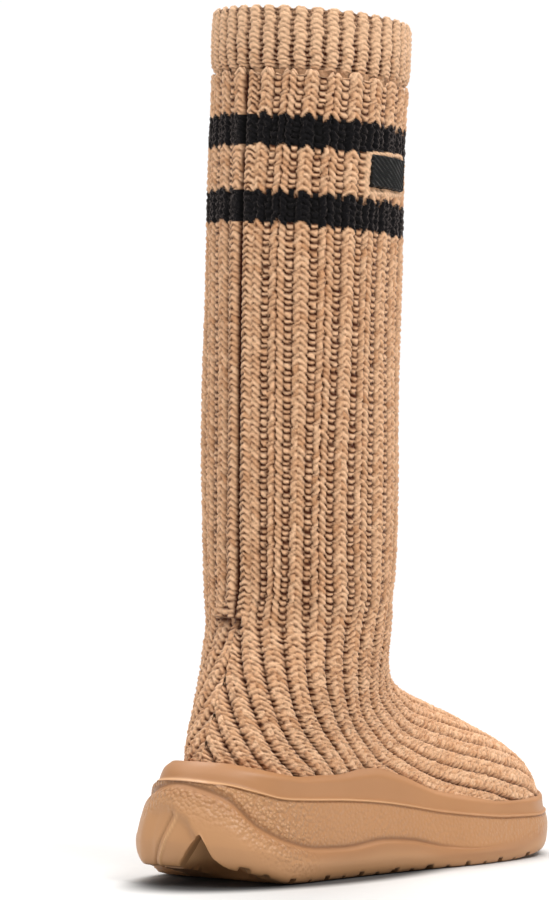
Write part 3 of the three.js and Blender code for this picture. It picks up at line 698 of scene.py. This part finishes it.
across = SLANT[0] * HALF_WIDE * patch_x + SLANT[1] * HALF_TALL * patch_y
patch_rise = -2.2 + 3.2 * np.sqrt(ease(to_edge / 1.2))
patch_rise = patch_rise + 0.35 * border * np.abs(np.sin(along_edge * 2.6)) * ease(to_edge)
patch_rise = patch_rise + 0.18 * (1 - border) * np.sin(2 * np.pi / THREAD * across)
patch_out = knit_out(patch_v[:, None], patch_turn)
patch_points = knit_point(patch_v[:, None], patch_turn) + patch_out * patch_rise[..., None]
index = np.arange(PATCH_ROWS * PATCH_COLUMNS).reshape(PATCH_ROWS, PATCH_COLUMNS)
patch = add_piece("ribbon_patch", patch_points, grid_faces(index), satin, "patch_cloth", across=across)
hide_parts("patch")

# %% [markdown]
# ## The sole
# The side of a moulded sole is a profile carried round a plan, and the profile changes on the way: a bar of tread,
# a bulging lower band, a crease that sweeps up to the heel, a grained band, a step line, and a rim that leans in.
# The underside is a grid between the two sides. The cup that holds the foot is cut out with a Boolean, because it
# follows the knit and not the plan.

# %% Plan and profile of the sole
GROOVE_PITCH, GROOVE_WIDTH, GROOVE_DEPTH = 25.5, 3.6, 2.6
GROOVES = -94.5 + GROOVE_PITCH * np.arange(9)
# Place, width and depth of the short nicks, two at the heel and one between each two grooves.
NICKS = np.array([[-119.5, 4.5, 3], [-109, 3, 1.8]] + [[x + GROOVE_PITCH / 2, 2.2, 1.6] for x in GROOVES[:-1]])
# Distance from the middle of the heel's pod, and the height of the hollow beside it or of the arch over it.
POD_MIDDLE = 4
HOLLOW = np.array([
    [8, 7], [12.5, 14], [18.6, 22.8], [22, 25.5], [24.5, 22], [28, 14.2], [34, 8], [42.5, 4.7], [48, 1],
])
POD_ARCH = np.array([[0, 40.5], [14.7, 34], [19.6, 27.5], [23, 24]])
HEEL_ROUND, TOE_ROUND = -93, 90  # where the plan begins to round off
UNDER_ROWS = 31  # rows of the underside from the outer edge to the inner one, and of the lid


def plan_half(x):
    """Half width: the table's value, times the square root of 1 - p^2 in the round ends, p the share of the end."""
    past = np.maximum((HEEL_ROUND - x) / (HALF_LENGTH + HEEL_ROUND), (x - TOE_ROUND) / (HALF_LENGTH - TOE_ROUND))
    past = np.clip(past, 0, 1)
    return smooth(SOLE_PLAN[:, 0], SOLE_PLAN[:, 2], x) * np.sqrt(1 - past ** 2)


def off_pod(y):
    """Distance from the pod's middle, shortened on the inner side, where the pod is broader."""
    return np.abs(y - POD_MIDDLE) * np.where(y > POD_MIDDLE, 0.6, 1)


def hollow_height(x, y):
    """Height of the hollow beside the heel's pod, from the table and level with the floor again under the heel."""
    return smooth(HOLLOW[:, 0], HOLLOW[:, 1], off_pod(y)) * ease((-95 - x) / 22)


def tread_cut(x, y):
    """Depth of the grooves across the tread and of the nicks at its edge, at the heel on the outer side only."""
    edge = ease((np.abs(y - smooth(SOLE_PLAN[:, 0], SOLE_PLAN[:, 1], x)) - plan_half(x) + 13) / 3)
    edge = edge * ((x > -100) | (y < 0))
    in_groove = (np.abs(x[..., None] - GROOVES) < GROOVE_WIDTH / 2).any(axis=-1)
    in_nick = np.abs(x[..., None] - NICKS[:, 0]) < NICKS[:, 1] / 2
    return np.maximum(GROOVE_DEPTH * in_groove, (in_nick * NICKS[:, 2]).max(axis=-1) * edge)


def underside(x, y):
    """Height of the tread: the table's line, raised into the hollows beside the heel's pod and by the cuts."""
    tread = smooth(SOLE_SIDE[:, 0], SOLE_SIDE[:, 1], x)
    return np.maximum(tread, np.where(off_pod(y) > HOLLOW[0, 0], hollow_height(x, y), 0)) + tread_cut(x, y)


def plan_point(turn):
    """Point of the widest line: x is minus half the length times the cosine of the turn, from the heel along the
    outer side to the toe and back along the inner side, and y the centre line plus or minus the half width."""
    x = -HALF_LENGTH * np.cos(turn)
    side = np.where(np.sin(turn) >= 0, -1, 1)
    return np.stack([x, smooth(SOLE_PLAN[:, 0], SOLE_PLAN[:, 1], x) + side * plan_half(x)], axis=-1)


# Columns lie closer round the heel, and each side of a groove or nick has its own.
even = np.append(np.linspace(0, 0.36, 50, endpoint=False), np.linspace(0.36, np.pi, 170))
cut_sides = np.concatenate([GROOVES[:, None] + GROOVE_WIDTH * np.array([-0.53, -0.47, 0.47, 0.53]),
                            NICKS[:, :1] + NICKS[:, 1:2] * np.array([-0.55, -0.45, 0.45, 0.55])]).ravel()
half_turns = np.unique(np.concatenate([even, np.arccos(-cut_sides / HALF_LENGTH)]))
turns = np.concatenate([half_turns, 2 * np.pi - half_turns[-2:0:-1]])
plan = plan_point(turns)
plan_x, plan_y = plan.T
ahead = plan_point(turns + 0.01) - plan_point(turns - 0.01)
ahead /= np.linalg.norm(ahead, axis=1, keepdims=True)
plan_out = np.stack([ahead[:, 1], -ahead[:, 0]], axis=-1)

tread, bulge, line, step, rim, lip_in, dip, step_in, rim_in = smooth(SOLE_SIDE[:, 0], SOLE_SIDE[:, 1:], plan_x).T
at_heel = ease((-80 - plan_x) / 40)
lip_in, dip = lip_in - 0.4 * at_heel * dip, dip * (1 + 0.4 * at_heel)
over = np.minimum(line + dip, step - 1)
# Height and inset of each level of the profile, from the edge of the tread up to the rim's inner edge.
levels = np.array([
    [tread, 6 + 0 * tread], [tread + 0.7, 2.6 + 0 * tread], [tread + 4.4, 0.6 + 0 * tread], [bulge, 0 * tread],
    [line - 0.9 * dip, lip_in], [line, lip_in + dip], [over, lip_in + 0.8 * dip],
    [step - 0.2 * (step - over), step_in - 0.2 * (step_in - lip_in - 0.8 * dip)], [step, step_in],
    [step + 0.8, step_in + 0.7], [0.55 * step + 0.45 * rim, 0.65 * step_in + 0.35 * rim_in + 0.7],
    [0.25 * step + 0.75 * rim, rim_in], [rim, rim_in + 3.4],
])
SAMPLES = [3, 4, 5, 14, 6, 5, 8, 7, 6, 6, 5, 5]
level_at = np.append(np.concatenate([k + np.arange(n) / n for k, n in enumerate(SAMPLES)]), len(SAMPLES))
side_z = smooth(np.arange(len(levels)), levels[:, 0], level_at)
side_in = smooth(np.arange(len(levels)), levels[:, 1], level_at)
print("sole columns:", len(plan_x), " levels:", len(level_at))

# %% Surface of the sole
off_middle = off_pod(plan_y)
arch = smooth(POD_ARCH[:, 0], POD_ARCH[:, 1], off_middle)
under_arch = ease((arch - side_z) / 5) * ease((24 - off_middle) / 3) * ease((20 - plan_y) / 10) * (plan_x < -105)
# A narrow strip runs down the pod on the slant, with a groove on one side of it and a ridge on the other.
strip = np.interp(side_z, [8, 40], [9.5, -5.5])
groove, ridge = [np.exp(-((plan_y - strip - shift) / 0.7) ** 2) * (plan_x < -130) for shift in (2, -2)]
side_in = side_in + 2.4 * under_arch + under_arch * (0.9 * groove - 0.9 * ridge)
side_in = side_in - 0.5 * np.exp(-((side_z - step) / 0.5) ** 2) + 0.5 * np.exp(-((side_z - step + 1.1) / 0.5) ** 2)
band_z, band_x = side_z, plan_x + 0 * side_z
side = np.concatenate([plan - plan_out * side_in[..., None], side_z[..., None]], axis=-1)
low = underside(side[..., 0], side[..., 1])
side[..., 2] = np.maximum(side[..., 2], low)

count = len(plan_x)
half_count = len(half_turns)
outer_edge = np.arange(half_count)
inner_edge = (-np.arange(half_count)) % count
share = np.linspace(0, 1, UNDER_ROWS)[1:-1, None, None]
bottom = side[0, outer_edge] * (1 - share) + side[0, inner_edge] * share
bottom[..., 2] = underside(bottom[..., 0], bottom[..., 1])
lid = side[-1, outer_edge] * (1 - share) + side[-1, inner_edge] * share
lid[..., 2] -= 3 * ease(np.minimum(share, 1 - share)[..., 0] * 6)

side_index = np.arange(side.shape[0] * count).reshape(side.shape[0], count)
bottom_index = side_index.size + np.arange(bottom.shape[0] * half_count).reshape(-1, half_count)
lid_index = side_index.size + bottom_index.size + np.arange(bottom.shape[0] * half_count).reshape(-1, half_count)
wall = grid_faces(np.concatenate([side_index, side_index[:, :1]], axis=1))[..., ::-1]
bottom_rows = np.concatenate([side_index[0][outer_edge][None], bottom_index, side_index[0][inner_edge][None]])
lid_rows = np.concatenate([side_index[-1][outer_edge][None], lid_index, side_index[-1][inner_edge][None]])
middle = UNDER_ROWS // 2
for grid in (bottom_rows, lid_rows):  # at heel and toe the two halves of a grid meet and share their points
    grid[middle + 1:, [0, -1]] = grid[middle - 1::-1, [0, -1]]
sole_points = np.concatenate([side.reshape(-1, 3), bottom.reshape(-1, 3), lid.reshape(-1, 3)])
sole_faces = np.concatenate([
    wall.reshape(-1, 4), grid_faces(bottom_rows).reshape(-1, 4), grid_faces(lid_rows)[..., ::-1].reshape(-1, 4)])

# Where the grain, the painted shade and the painted light lie, by height and by place along the sole.
upper_band = ease((band_z - line) / 2) * ease((step - 0.4 - band_z) / 1.2)
heel_band = ease((line - 1 - band_z) / 2) * ease((band_z - line + 19) / 14) * ease((-70 - band_x) / 30)
heel_band = heel_band * (1 - under_arch)
toe_band = ease((band_z - tread - 8) / 5) * ease((step - 0.4 - band_z) / 1.2) * ease((band_x - 35) / 30)
coarse = 0.35 + 0.65 * ease((-60 - band_x) / 45)
grain = np.maximum(np.maximum(upper_band, toe_band) * coarse, 0.7 * heel_band)
# Painted shade: in the crease, under the step line, in the strip's groove, in the notches and along the wall's
# foot.
in_crease = np.exp(-((band_z - line - 0.2 * dip) / 1.1) ** 2) * ease((30 - band_x) / 30)
under_step = np.exp(-((band_z - step + 1.1) / 0.45) ** 2)
in_notch = ease(tread_cut(side[..., 0], side[..., 1])) * ease((low + 0.3 - side[..., 2]) / 0.2)
foot_edge = 0.5 * ease((tread + 1.6 - band_z) / 1.2)
soil = np.clip(0.4 * in_crease + 0.35 * under_step + 0.4 * under_arch * groove + in_notch + foot_edge, 0, 0.95)
# Painted light: the band below the crease and the grained band are paler, and thin highlights run along the step
# line and the ridge of the heel's strip.
painted_pale_bands = 0.22 * ease((line - 3 - band_z) / 5) + 0.1 * upper_band
step_highlight = 0.7 * np.exp(-((band_z - step) / 0.4) ** 2) * (0.2 + 0.8 * ease((30 - band_x) / 70))
worn = np.clip(step_highlight + 0.6 * under_arch * ridge + painted_pale_bands, 0, 1)
behind = ease((-98 - bottom[..., 0]) / 8)
# Under the heel the hollow gets painted shade low down and painted light higher up.
in_hollow = 0.3 * ease((16 - bottom[..., 2]) / 8) * behind
hollow_light = 0.9 * ease((bottom[..., 2] - 8) / 7) * behind
flat = 0 * lid[..., 2]
sole = add_piece("foam_sole", sole_points, sole_faces, foam, "sole_foam",
                 grain=np.concatenate([grain.ravel(), 0 * in_hollow.ravel(), flat.ravel()]),
                 soil=np.concatenate([soil.ravel(), in_hollow.ravel(), flat.ravel()]),
                 worn=np.concatenate([worn.ravel(), hollow_light.ravel(), flat.ravel()]))
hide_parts("sole")

# %% [markdown]
# The cutter for the cup is the knit's own form, a gap larger, with its underside flattened to the cup's floor. The
# attributes of the points stay with them through the cut.

# %% Cup of the sole
cup_v, cup_turn = np.linspace(3, len(KNIT) - 1, 150)[:, None], np.linspace(-np.pi, np.pi, 121)[None, :-1]
cup_turn = cup_turn + 0 * cup_v
cup = knit_point(cup_v, cup_turn) + GAP * knit_out(cup_v, cup_turn)
cup[..., 2] = np.maximum(cup[..., 2], smooth(CUP_FLOOR[:, 0], CUP_FLOOR[:, 1], cup[..., 0]))
rings, around = cup.shape[:2]
index = np.arange(rings * around).reshape(rings, around)
cup_faces = grid_faces(np.concatenate([index, index[:, :1]], axis=1)).reshape(-1, 4).tolist()
cup_mesh = bpy.data.meshes.new("cup_cutter")
cup_ends = [index[0].tolist(), index[-1, ::-1].tolist()]
cup_mesh.from_pydata((cup.reshape(-1, 3) / 1000).tolist(), [], cup_faces + cup_ends)
cutter = bpy.data.objects.new("cup_cutter", cup_mesh)
bpy.context.scene.collection.objects.link(cutter)
cut = sole.modifiers.new("cup", "BOOLEAN")
cut.object, cut.operation, cut.solver = cutter, "DIFFERENCE", "MANIFOLD"
carved = bpy.data.meshes.new_from_object(sole.evaluated_get(bpy.context.evaluated_depsgraph_get()))
sole.modifiers.clear()
sole.data = carved
bpy.data.objects.remove(cutter)

carved.shade_smooth()
carved.set_sharp_from_angle(angle=np.radians(42))
triangles = sum(len(face.vertices) - 2 for face in carved.polygons)
print("sole with its cup:", len(carved.vertices), "points,", triangles, "triangles")

# %% [markdown]
# ## Studio
# The boot stands on a pale floor in a white room, lit by large soft lights from both sides and from above. So much
# light washes out the shadow under the heel, so the floor is darkened there by a soft oval.

# %% Floor, lights and camera
world = bpy.data.worlds.new("white_room")
world.use_nodes = True
tree = world.node_tree
way_up = node(tree, "TexCoord", {}).outputs["Generated"]
way_up = node(tree, "SeparateXYZ", {"Vector": way_up}).outputs["Z"]
walls = node(tree, "ValToRGB", {"Fac": spread(tree, way_up, From_Min=-1.0, From_Max=1.0)})
# Share of the way from straight down to straight up, and how bright the room is there.
ROOM = [(0.0, 0.6), (0.56, 0.6), (0.61, 0.15), (0.78, 0.2), (0.87, 1.0), (1.0, 1.0)]
walls.color_ramp.elements[0].position, walls.color_ramp.elements[1].position = ROOM[0][0], ROOM[-1][0]
for position, _ in ROOM[1:-1]:
    walls.color_ramp.elements.new(position)
for element, (_, value) in zip(walls.color_ramp.elements, ROOM):
    element.color = (value, value, value, 1)
tree.links.new(walls.outputs["Color"], tree.nodes["Background"].inputs["Color"])
tree.nodes["Background"].inputs["Strength"].default_value = 1.7
bpy.context.scene.world = world
bpy.context.scene.view_settings.view_transform = "Standard"

# Half length and half width of the oval shade in metres, and how far it lies behind and outside the origin.
SHADE_LONG, SHADE_WIDE, SHADE_BACK, SHADE_OUT = 0.125, 0.06, 0.05, 0.008
floor_material, tree, place = new_material("pale_paper_floor")
paper_grain = node(tree, "TexNoise", {"Scale": 1000 / 3, "Detail": 2.0}).outputs["Fac"]
paper = blend(tree, paper_grain, "#d3d2d0", "#d7d6d4")
near = node(tree, "Mapping", {"Vector": place, "Scale": (1 / SHADE_LONG, 1 / SHADE_WIDE, 1.0),
                              "Location": (SHADE_BACK / SHADE_LONG, SHADE_OUT / SHADE_WIDE, 0.0)})
near = node(tree, "TexGradient", {"Vector": near.outputs[0]}, gradient_type="SPHERICAL")
near = node(tree, "MapRange", {"Value": near.outputs["Fac"], "From Max": 0.3, "To Max": 0.92},
            interpolation_type="SMOOTHSTEP")
surface(tree, {"Base Color": blend(tree, near.outputs[0], paper, "#101012"), "Roughness": 0.8})
floor_mesh = bpy.data.meshes.new("floor")
floor_mesh.from_pydata([(-1, -1, 0), (1, -1, 0), (1, 1, 0), (-1, 1, 0)], [], [(0, 1, 2, 3)])
floor_mesh.materials.append(floor_material)
floor = bpy.data.objects.new("floor", floor_mesh)
bpy.context.scene.collection.objects.link(floor)


def soft_light(name, place, size, power):
    """A square area light of the given side, turned to the middle of the boot."""
    data = bpy.data.lights.new(name, "AREA")
    data.size, data.energy = size, power
    lamp = bpy.data.objects.new(name, data)
    lamp.location = place
    aim = np.array([0, 0, 0.2]) - np.array(place)
    lamp.rotation_euler = (np.arctan2(np.hypot(aim[0], aim[1]), -aim[2]), 0, np.arctan2(aim[1], aim[0]) - np.pi / 2)
    bpy.context.scene.collection.objects.link(lamp)


soft_light("back_box", (0.9, 0.75, 1.7), 0.9, 20)
soft_light("left_box", (-1.3, 1.1, 1.7), 1.0, 4)
soft_light("right_box", (-0.2, -1.4, 2.0), 0.8, 22)

FOCAL_PIXELS, LONG_SIDE = 4200, 900
camera_data = bpy.data.cameras.new("camera")
camera_data.lens = FOCAL_PIXELS / LONG_SIDE * camera_data.sensor_width
camera = bpy.data.objects.new("camera", camera_data)
camera.location = (-1.6320, -1.3216, 0.205)
camera.rotation_euler = np.radians([90.068, 0, 40.016 - 90])
bpy.context.scene.collection.objects.link(camera)
bpy.context.scene.camera = camera
print("lens:", round(camera_data.lens, 1), "mm")
